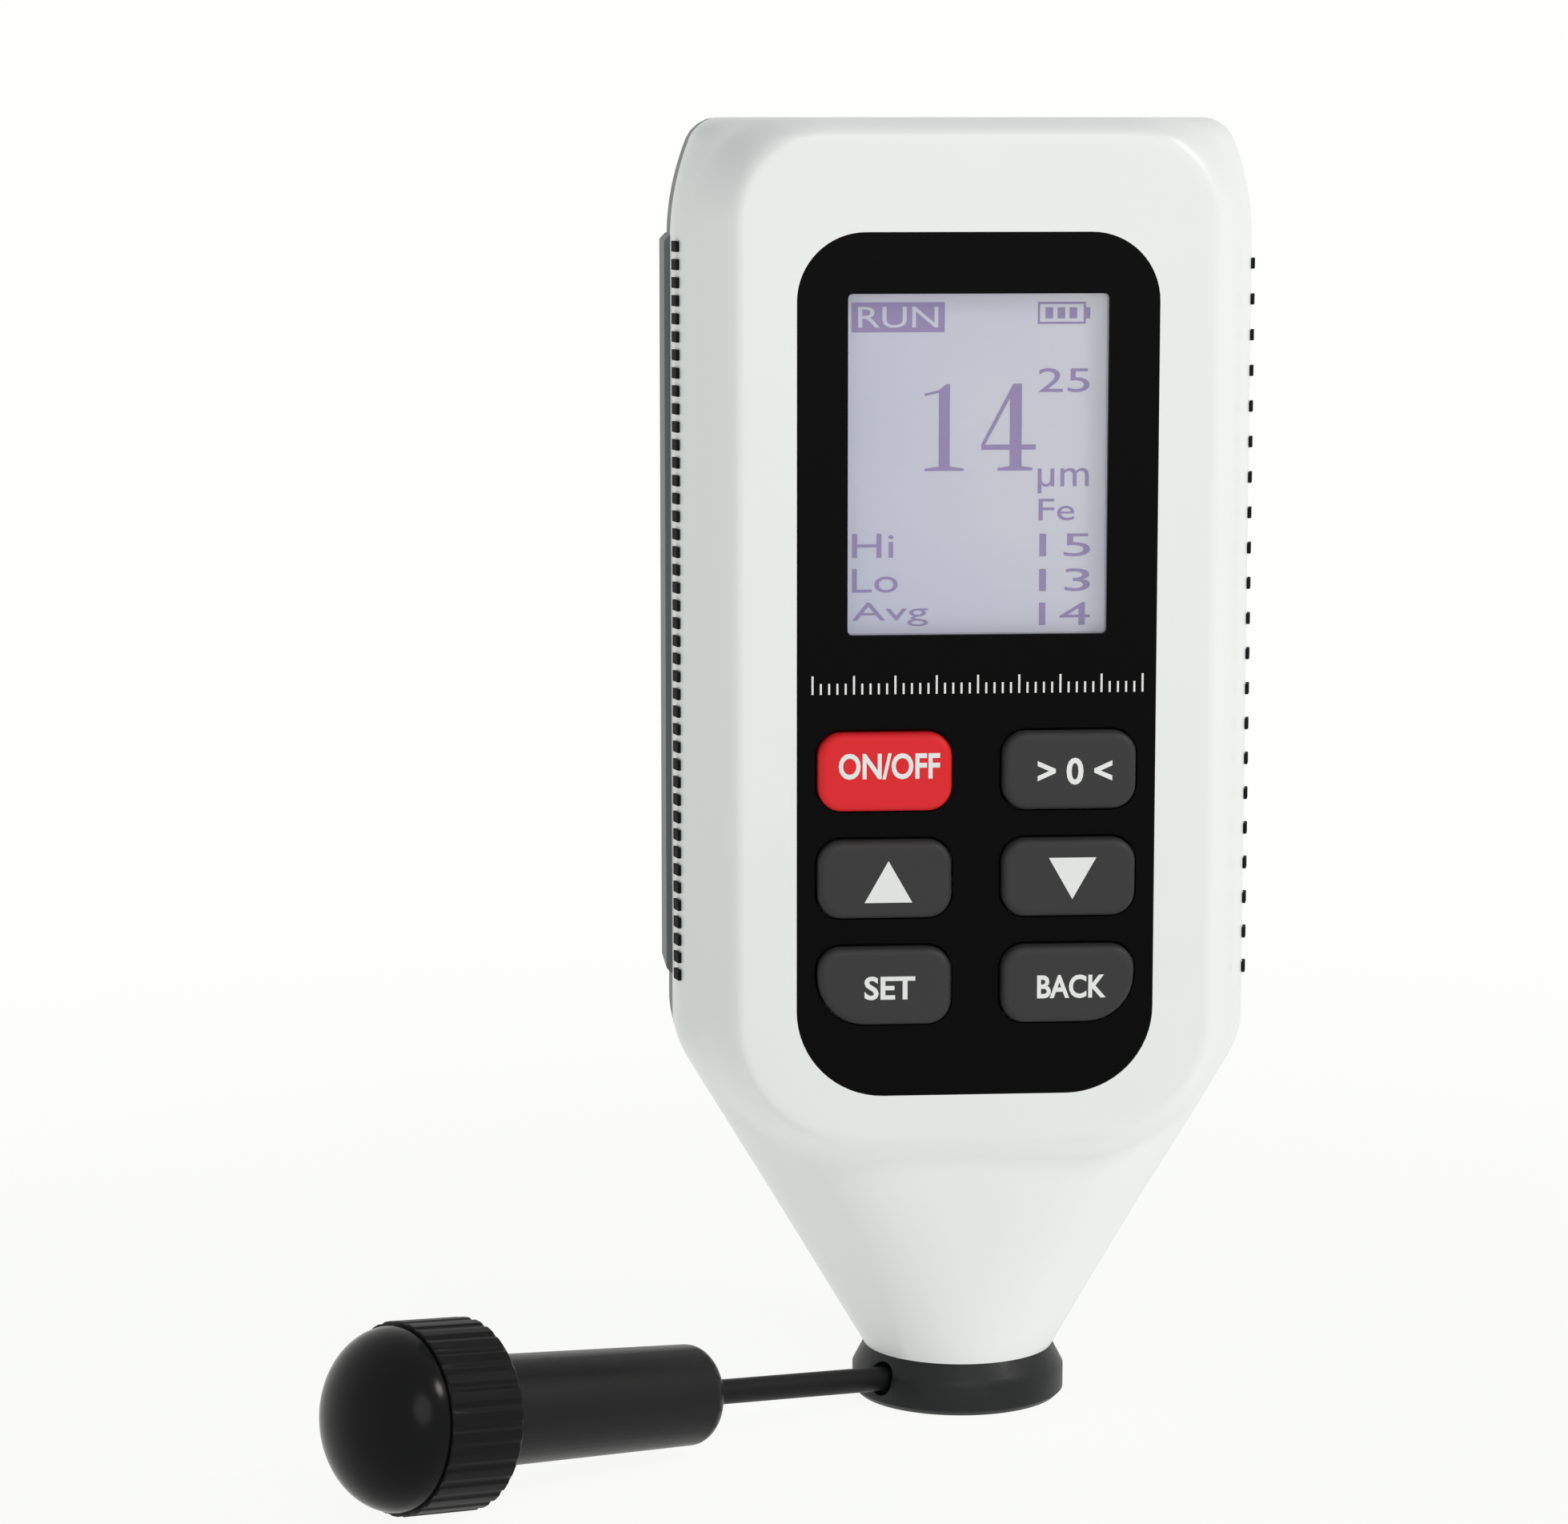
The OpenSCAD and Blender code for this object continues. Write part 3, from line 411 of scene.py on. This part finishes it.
def block(x0, x1, z0, z1, face):
    """Thin printed block on a face that looks at the viewer."""
    bpy.ops.object.select_all(action="DESELECT")
    bpy.ops.mesh.primitive_cube_add(
        size=1, location=((x0 + x1) / 2 * mm, (face - print_t / 2) * mm, (z0 + z1) / 2 * mm))
    piece = bpy.context.object
    piece.scale = ((x1 - x0) * mm, print_t * mm, (z1 - z0) * mm)
    bpy.ops.object.transform_apply(location=True, rotation=True, scale=True)
    return piece


def repeated(piece, count, pitch):
    """Row of copies of a piece, from the left."""
    apply(piece, "ARRAY", count=count, use_relative_offset=False, use_constant_offset=True,
          constant_offset_displace=(pitch * mm, 0, 0))
    return piece


scale_from, scale_z, scale_pitch, tick_w = -15.2, 69.3, 0.76, 0.18
scale_to = scale_from + tick_w
fine_tick = block(scale_from, scale_to, scale_z - 0.5, scale_z + 0.5, -front_d)
long_tick = block(scale_from, scale_to, scale_z + 0.51, scale_z + 1.2, -front_d)
fine_ticks = repeated(fine_tick, 41, scale_pitch)
long_ticks = repeated(long_tick, 9, 5 * scale_pitch)
dress(join([fine_ticks, long_ticks], "panel_scale"), "gauge", legend_white, "panel_black")

# Display: a liquid crystal cell behind a clear acrylic pane that is bonded into the panel. Violet figures
# are formed on its pale lavender ground.
cell_face = -10.9
lcd_glass, ink, shader, place = surface("lcd_glass", {"Roughness": 0.35, "Emission Strength": 0.06})
across = ink.add("ShaderNodeSeparateXYZ", values={0: place})
lighter = across * (0.7 / (window_w * mm)) + noise(ink, place, 55.0, 1.0)
lavender = blend(ink, lighter, shade((182, 185, 206)), shade((203, 202, 210)))
feed(ink, shader, {"Base Color": lavender, "Emission Color": lavender})


def coat(node, material):
    """Gives a solid that keeps its shape its material."""
    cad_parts[node].data.materials.clear()
    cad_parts[node].data.materials.append(material)


coat("lcd_cell", lcd_glass)
window_clear, ink, shader, place = surface("window_clear", {"Alpha": 0.07, "Roughness": 0.06})
haze = noise(ink, place, 40.0, 2.0)
feed(ink, shader, {"Base Color": blend(ink, haze, shade((205, 205, 215)), shade((225, 225, 235)))})
coat("display_window", window_clear)


def lettering(words, x0, x1, z0, z1, face, weight=0.0):
    """Thin printed words that fill a box on a face that looks at the viewer."""
    bpy.ops.object.select_all(action="DESELECT")
    bpy.ops.object.text_add()
    piece = bpy.context.object
    piece.data.body = words
    piece.data.resolution_u = 4
    piece.data.extrude = 0.02
    piece.data.offset = weight
    bpy.ops.object.convert(target="MESH")
    piece = bpy.context.object
    low = [min(v.co[i] for v in piece.data.vertices) for i in range(3)]
    high = [max(v.co[i] for v in piece.data.vertices) for i in range(3)]
    for v in piece.data.vertices:
        u, t, up = [(v.co[i] - low[i]) / (high[i] - low[i]) for i in range(3)]
        v.co = Vector((x0 + (x1 - x0) * u, face - print_t * up, z0 + (z1 - z0) * t)) * mm
    return piece


def figure(strokes, x0, x1, z0, z1, face):
    """Thin printed figure of straight-sided strokes, each a list of corners in a box of one by one. Each
    stroke stands a little higher than the one before."""
    parts = []
    for i, stroke in enumerate(strokes):
        bpy.ops.object.select_all(action="DESELECT")
        bpy.ops.mesh.primitive_circle_add(vertices=len(stroke), fill_type="NGON")
        part = bpy.context.object
        thick = print_t * (1 + i / 4)
        for v, (u, t) in zip(part.data.vertices, stroke):
            v.co = Vector((x0 + (x1 - x0) * u, face - thick, z0 + (z1 - z0) * t)) * mm
        bpy.ops.object.mode_set(mode="EDIT")
        bpy.ops.mesh.select_all(action="SELECT")
        bpy.ops.mesh.extrude_region_move(TRANSFORM_OT_translate={"value": (0, thick * mm, 0)})
        bpy.ops.mesh.select_all(action="SELECT")
        bpy.ops.mesh.normals_make_consistent(inside=False)
        bpy.ops.object.mode_set(mode="OBJECT")
        parts.append(part)
    return join(parts, "figure")


figure_one = [
    [(0.36, 0.04), (0.64, 0.04), (0.64, 1.0), (0.56, 1.0), (0.36, 0.93)],
    [(0.0, 0.86), (0.36, 0.9), (0.36, 0.93), (0.0, 0.89)],
    [(0.0, 0.0), (1.0, 0.0), (1.0, 0.025), (0.64, 0.05), (0.36, 0.05), (0.0, 0.025)]]
figure_four = [
    [(0.52, 0.04), (0.74, 0.04), (0.74, 1.0), (0.6, 1.0), (0.52, 0.9)],
    [(0.0, 0.24), (1.0, 0.24), (1.0, 0.3), (0.0, 0.3)],
    [(0.0, 0.3), (0.07, 0.3), (0.66, 1.0), (0.58, 1.0)],
    [(0.3, 0.0), (0.94, 0.0), (0.94, 0.03), (0.74, 0.05), (0.52, 0.05), (0.3, 0.03)]]
figure_low, figure_high = 89.1, 97.0
marks = [
    block(-11.5, -3.0, 101.7, 104.4, cell_face),
    figure(figure_one, -4.8, -1.2, figure_low, figure_high, cell_face),
    figure(figure_four, 0.4, 5.4, figure_low, figure_high, cell_face),
    lettering("25", 5.6, 10.3, 96.2, 98.4, cell_face),
    lettering("µm", 5.6, 10.3, 87.0, 89.3, cell_face),
    lettering("Fe", 5.7, 9.0, 84.5, 86.5, cell_face)]
readings = (("Hi", "15", 81.2, -7.6), ("Lo", "13", 78.0, -7.2), ("Avg", "14", 74.9, -4.4))
for words, number, z, reach in readings:
    marks.append(lettering(words, -11.4, reach, z, z + 2.2, cell_face))
    marks.append(lettering(number, 5.8, 10.5, z, z + 2.1, cell_face))
charge_bars = (
    (5.5, 9.9, 102.4, 102.6), (5.5, 9.9, 104.2, 104.4),
    (5.5, 5.7, 102.61, 104.19), (9.7, 9.9, 102.61, 104.19),
    (9.9, 10.3, 102.9, 103.9), (6.2, 6.9, 102.9, 103.9),
    (7.3, 8.0, 102.9, 103.9), (8.4, 9.1, 102.9, 103.9))
for sides in charge_bars:
    marks.append(block(*sides, cell_face))
violet = moulded("display_violet", (136, 117, 168), 0.5, cloud=0.12, grain=0.4, depth=0.002)
dress(join(marks, "display_figures"), "gauge", violet, "lcd_glass")
mode_word = lettering("RUN", -10.9, -3.6, 102.1, 104.0, cell_face - print_t)
mode_word.name = "display_mode"
dress(mode_word, "gauge", lcd_glass, "lcd_glass")

# Keys: six silicone caps with a cushioned edge, each with a flange behind the mat and a carbon pill over
# the board. The legends are printed white on top.
key_top, flange_front, flange_t, flange_rim = -13.1, -8.3, 0.8, 0.8
cushion, pill_r, pill_end, root = 0.75, 1.8, -7.25, 0.4
key_red = moulded("key_red", (222, 36, 42), 0.46, cloud=0.06, grain=0.25, depth=0.012, fixed=dull)
key_grey = moulded("key_grey", (52, 52, 52), 0.5, cloud=0.08, grain=0.25, depth=0.012, fixed=dull)
for name, (x, z, radii) in key_places.items():
    key_cap = plate(name + "_cap", x, z, key_w, key_h, radii, key_top, flange_front + root, 8)
    bpy.ops.object.mode_set(mode="EDIT")
    pick(key_cap, lambda f: f.normal.y < -0.9, "polygons")
    bpy.ops.mesh.bevel(offset=cushion * mm, segments=6, profile=0.55, affect="EDGES")
    bpy.ops.object.mode_set(mode="OBJECT")
    flange = plate("flange", x, z, key_w + 2 * flange_rim, key_h + 2 * flange_rim,
                   [r + flange_rim for r in radii], flange_front, flange_front + flange_t, 6)
    pill = bar(x, z, pill_r, flange_front + root, pill_end)
    key_cap = join([key_cap, flange, pill], name + "_cap")
    smooth(key_cap, 40)
    if name == "power_key":
        dress(key_cap, name, key_red, "key_red", name)
    else:
        dress(key_cap, name, key_grey, "key_grey", name)


def arrow(x, z, w, up):
    """Printed triangle that points up or down."""
    half_h = 0.44 * w
    tip = (0.5, 1.0) if up else (0.5, 0.0)
    foot = ((0.0, 0.0), (1.0, 0.0)) if up else ((1.0, 1.0), (0.0, 1.0))
    return figure([[*foot, tip]], x - w / 2, x + w / 2, z - half_h, z + half_h, key_top)


bold = 0.025
legends = {
    "power_key": lettering("ON/OFF", -12.8, -3.5, 61.1, 63.5, key_top, bold),
    "zero_key": lettering("> 0 <", 5.5, 12.4, 60.4, 62.9, key_top, bold),
    "up_key": arrow(-8.2, 51.6, 4.4, True),
    "down_key": arrow(8.8, 51.7, 4.4, False),
    "ok_key": lettering("SET", -10.4, -5.7, 40.6, 42.8, key_top, bold),
    "back_key": lettering("BACK", 5.6, 12.0, 40.5, 42.7, key_top, bold)}
for name, legend in legends.items():
    legend.name = name + "_legend"
    dress(legend, name, legend_white, "key_grey")

# Nose ring: a foot moulded in black nylon that the two halves clamp by its hidden flange. The lead comes
# out through a rubber grommet in its side.
ring_black = moulded("ring_black", (30, 32, 32), 0.42, cloud=0.08, grain=0.3, depth=0.012, fixed=dull)
dress(eased_copy("nose_ring", 30, 0.12), "gauge", ring_black, "ring_black", "nose_ring")

# Lead: a short cable in a black vinyl sheath, 34.4 mm long. It runs straight from the grommet, through
# the hole in the ring, into the tail of the probe.
ring_r, lead_z, lead_turn, lead_free = 10.1, 2.7, math.radians(215.5), 22.2
cap_r, rim_at = 8.45, 48.8
tilt = math.atan2(cap_r, rim_at) - math.asin(lead_z / math.hypot(cap_r, rim_at))
along = Vector((math.cos(lead_turn) * math.cos(tilt),
                math.sin(lead_turn) * math.cos(tilt),
                math.sin(tilt)))
ring_exit = Vector((math.cos(lead_turn) * ring_r, math.sin(lead_turn) * ring_r, lead_z))


def on_line(out):
    """Point of the line that lead and probe share, so far out of the ring."""
    return (ring_exit + along * out) * mm


lead_d, lead_from, lead_to, lead_steps = 2.3, -1.2, lead_free + 11, 23
line = bpy.data.curves.new("probe_lead_sheath", "CURVE")
line.dimensions = "3D"
line.bevel_depth = lead_d / 2 * mm
line.bevel_resolution = 8
line.use_fill_caps = True
run = line.splines.new("POLY")
run.points.add(lead_steps)
for i, point in enumerate(run.points):
    point.co = (*on_line(lead_from + (lead_to - lead_from) * i / lead_steps), 1)
lead = bpy.data.objects.new("probe_lead_sheath", line)
bpy.context.scene.collection.objects.link(lead)
lead_black = moulded("lead_black", (14, 15, 15), 0.45, cloud=0.1, grain=0.3, depth=0.01,
                     fixed={"Specular IOR Level": 0.15})
dress(lead, "gauge", lead_black, "lead_black", "probe_lead")
on_line(lead_from)
(lead_to - lead_from) * mm

# Probe: a tapered satin handle of black ABS, moulded with its collar and head, and a pull-off cap of the
# same with a fluted band and a polished dome.
probe_black = moulded("probe_black", (15, 15, 16), 0.34, cloud=0.1, grain=0.3, depth=0.01, fixed=dull)
dress(eased_copy("probe_handle", 32), "gauge", probe_black, "probe_black", "probe_handle")
dome_from = 56.2
cap_black, ink, shader, place = surface("cap_black", {"Specular IOR Level": 0.12})
rise = ink.add("ShaderNodeVectorMath", {"operation": "DOT_PRODUCT"}, {0: place, 1: along}, out="Value")
dome = rise > (dome_from + ring_exit.dot(along)) * mm
grains = noise(ink, place, 3000.0, 2.0)
clouds = noise(ink, place, 120.0, 3.0)
bump = ink.add("ShaderNodeBump", values={
    "Height": grains * (1 - dome * 0.9), "Strength": 0.4, "Distance": 0.012 * mm})
feed(ink, shader, {
    "Base Color": blend(ink, clouds, shade((6, 7, 7)), shade((9, 10, 10))),
    "Roughness": 0.42 - dome * 0.22 + (grains - 0.5) * 0.1,
    "Normal": bump})


def turned(name, profile, columns, groove):
    """Closed skin turned about the probe's line, through points of radius and reach, less a groove at
    each turn."""
    bpy.ops.object.select_all(action="DESELECT")
    bpy.ops.mesh.primitive_grid_add(x_subdivisions=columns, y_subdivisions=len(profile) - 1, size=2)
    skin = bpy.context.object
    skin.name = name
    level = Vector((-along.y, along.x, 0)).normalized()
    upright = along.cross(level)
    for v in skin.data.vertices:
        turn = (v.co.x + 1) * math.pi
        r, out = profile[round((v.co.y + 1) / 2 * (len(profile) - 1))]
        r -= groove(turn, r)
        v.co = on_line(out) + (level * math.cos(turn) + upright * math.sin(turn)) * r * mm
    bpy.ops.object.mode_set(mode="EDIT")
    bpy.ops.mesh.select_all(action="SELECT")
    bpy.ops.mesh.remove_doubles(threshold=0.001 * mm)
    bpy.ops.mesh.normals_make_consistent(inside=False)
    bpy.ops.object.mode_set(mode="OBJECT")
    return skin


def quarter(r, h, steps):
    """Points of a dome from its edge to its top."""
    turns = [math.pi / 2 * i / steps for i in range(steps + 1)]
    return [(r * math.cos(t), dome_from + h * math.sin(t)) for t in turns]


cap_from, cap_bore, dome_r, dome_h, dome_wall = 48.4, 6.95, 8.09, 5.77, 1.4
flutes, flute_half, flute_depth = 30, 0.4, 0.15


def flute(turn, r):
    """Depth of the band's grooves at a turn. Only the band's full radius is grooved."""
    off = abs((turn * flutes / (2 * math.pi)) % 1 - 0.5) * 2 * math.pi / flutes * cap_r
    return flute_depth * max(0.0, 1 - (off / flute_half) ** 2) if r > cap_r - 0.1 else 0.0


rim, band_edge = 0.4, 0.12
band_from, band_to = cap_from + rim, dome_from - band_edge
hollow = list(reversed(quarter(cap_bore, dome_h - dome_wall, 12)))
mouth = [(cap_bore, cap_from), (cap_r - rim, cap_from)]
band = [(cap_r, band_from + (band_to - band_from) * i / 4) for i in range(5)]
outside = [(cap_r - band_edge, dome_from)] + quarter(dome_r, dome_h, 28)
cap = turned("probe_cap_skin", hollow + mouth + band + outside, 480, flute)
smooth(cap, 30)
dress(cap, "cap", cap_black, "cap_black", "probe_cap")

# Inside: a green circuit board with its circuits, plated contacts and screws, two cells in plain sleeves,
# and the brass guide, steel tip and copper coil of the sensor. Each is screwed, pressed or laid in place.
metal, steel_grey = {"Metallic": 1.0}, (186, 188, 190)
steel = moulded("plated_steel", steel_grey, 0.3, cloud=0.06, grain=0.4, depth=0.006, fixed=metal)
brass = moulded("turned_brass", (198, 160, 92), 0.32, cloud=0.06, grain=0.4, depth=0.006, fixed=metal)
copper = moulded("varnished_copper", (176, 98, 58), 0.35, cloud=0.1, grain=0.25, depth=0.02, fixed=metal)
gold = moulded("gold_plate", (212, 176, 92), 0.28, cloud=0.05, grain=0.4, depth=0.004, fixed=metal)
resist = moulded("green_resist", (22, 84, 52), 0.35, cloud=0.12, grain=0.8, depth=0.01)
package = moulded("chip_package", (30, 30, 31), 0.6, cloud=0.1, grain=0.25, depth=0.015)
diffuser = moulded("light_guide", (236, 236, 230), 0.5, cloud=0.03, grain=0.5, depth=0.006)
silicone = moulded("mat_silicone", (92, 93, 94), 0.6, cloud=0.06, grain=0.3, depth=0.015)
ivory = moulded("socket_ivory", (226, 220, 200), 0.45, cloud=0.05, grain=0.4, depth=0.008)


def dry_cell(name, low, high):
    """Cell in a plain printed sleeve that leaves its steel bare at both ends."""
    made, ink, shader, place = surface(name, {})
    height = ink.add("ShaderNodeSeparateXYZ", values={0: place}, out="Z")
    bare = 1 - (height > low * mm) + (height > high * mm)
    clouds = noise(ink, place, cloud_scale, 3.0)
    sleeve = blend(ink, clouds, shade((40, 48, 62)), shade((48, 57, 72)))
    feed(ink, shader, {
        "Base Color": blend(ink, bare, sleeve, shade(steel_grey)),
        "Metallic": bare,
        "Roughness": 0.3 + (clouds - 0.5) * 0.1})
    return made


left_cell = dry_cell("left_cell", 63.65, 106.05)
right_cell = dry_cell("right_cell", 61.55, 103.95)
insides = {
    "backlight": diffuser, "main_board": resist, "board_chips": package, "board_screws": steel,
    "contact_pads": gold, "buzzer": package, "keypad_mat": silicone, "board_socket": ivory,
    "lead_plug": ivory, "lead_tail": lead_black, "lead_grommet": grip_rubber, "case_screws": steel,
    "battery_left": left_cell, "battery_right": right_cell, "battery_springs": steel,
    "battery_plates": steel, "sensor_guide": brass, "sensor_tip": steel, "sensor_coil": copper}
for node, material in insides.items():
    coat(node, material)

# Spring of the sensor: a coil of plated steel wire in the head of the probe. The real one shortens as
# the tip is pushed in; here it keeps the shape of its solid.
spring = eased_copy("probe_spring", 60)
reach = [v.co.dot(along) for v in spring.data.vertices]
dress(spring, "gauge", steel, "contact_steel", "probe_spring")
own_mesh(spring)

# Studio: a pale floor that fades into a white surround, which fills the shadows with a faintly cool light.
# One soft lamp stands at the upper right and a larger one in front, where the camera looks a little down.
bpy.ops.object.select_all(action="DESELECT")
bpy.ops.mesh.primitive_plane_add(size=12)
floor = bpy.context.object
floor.name = "floor"
floor_pale = bpy.data.materials.new("floor_pale")
floor_pale.use_nodes = True
ink = Ink(floor_pale.node_tree)
place = ink.add("ShaderNodeTexCoord", out="Object")
far = ink.add("ShaderNodeVectorMath", {"operation": "LENGTH"}, {0: place}, out="Value")
fade = ink.add("ShaderNodeMapRange", {"interpolation_type": "SMOOTHSTEP"},
               {"Value": far, "From Min": 0.03, "From Max": 0.28, "To Min": 0.93, "To Max": 1.0})
paper = ink.add("ShaderNodeBsdfDiffuse", values={"Color": shade((246, 246, 244))})
paper_white, cool_fill = shade((254, 255, 252)), shade((238, 248, 255))
glow = ink.add("ShaderNodeEmission", values={"Color": paper_white, "Strength": 1.0})
mixed = ink.add("ShaderNodeMixShader", values={0: fade, 1: paper, 2: glow})
ink.tree.links.new(mixed.socket, ink.tree.nodes["Material Output"].inputs["Surface"])
floor.data.materials.append(floor_pale)

world = bpy.data.worlds.new("studio")
world.use_nodes = True
bpy.context.scene.world = world
ink = Ink(world.node_tree)
seen = (ink.add("ShaderNodeLightPath", out="Is Camera Ray")
        + ink.add("ShaderNodeLightPath", out="Is Glossy Ray")
        + ink.add("ShaderNodeLightPath", out="Is Transmission Ray"))
fill = 0.35
feed(ink, world.node_tree.nodes["Background"], {
    "Color": blend(ink, seen, cool_fill, paper_white),
    "Strength": fill + seen * (1 - fill)})

gauge_middle = Vector((0, 0, 0.06))


def lamp(name, place, size, watts, colour):
    """Round soft lamp that shines on the middle of the gauge."""
    light = bpy.data.lights.new(name, "AREA")
    light.shape = "DISK"
    light.size, light.energy, light.color = size, watts, colour
    holder = bpy.data.objects.new(name, light)
    holder.location = place
    holder.rotation_euler = (gauge_middle - Vector(place)).to_track_quat("-Z", "Y").to_euler()
    bpy.context.scene.collection.objects.link(holder)


lamp("key_lamp", (0.78, -0.46, 0.8), 0.3, 4.8, (1.0, 0.965, 0.925))
lamp("front_lamp", (0.1, -1.1, 0.5), 0.7, 2.5, (1.0, 1.0, 1.0))

camera_turn, camera_lift, camera_far = math.radians(-4.73), math.radians(8.0), 0.43
aim_right, aim_up = -16.67, 60.77
back = Vector((math.sin(camera_turn) * math.cos(camera_lift),
               -math.cos(camera_turn) * math.cos(camera_lift),
               math.sin(camera_lift)))
right = Vector((math.cos(camera_turn), math.sin(camera_turn), 0))
target = right * aim_right * mm + Vector((0, 0, aim_up * mm))
lens = bpy.data.cameras.new("camera")
lens.sensor_fit, lens.sensor_width, lens.lens = "HORIZONTAL", 36.0, 104.64
camera = bpy.data.objects.new("camera", lens)
camera.location = target + back * camera_far
camera.rotation_euler = (-back).to_track_quat("-Z", "Y").to_euler()
bpy.context.scene.collection.objects.link(camera)
bpy.context.scene.camera = camera
bpy.context.scene.view_settings.view_transform = "Standard"
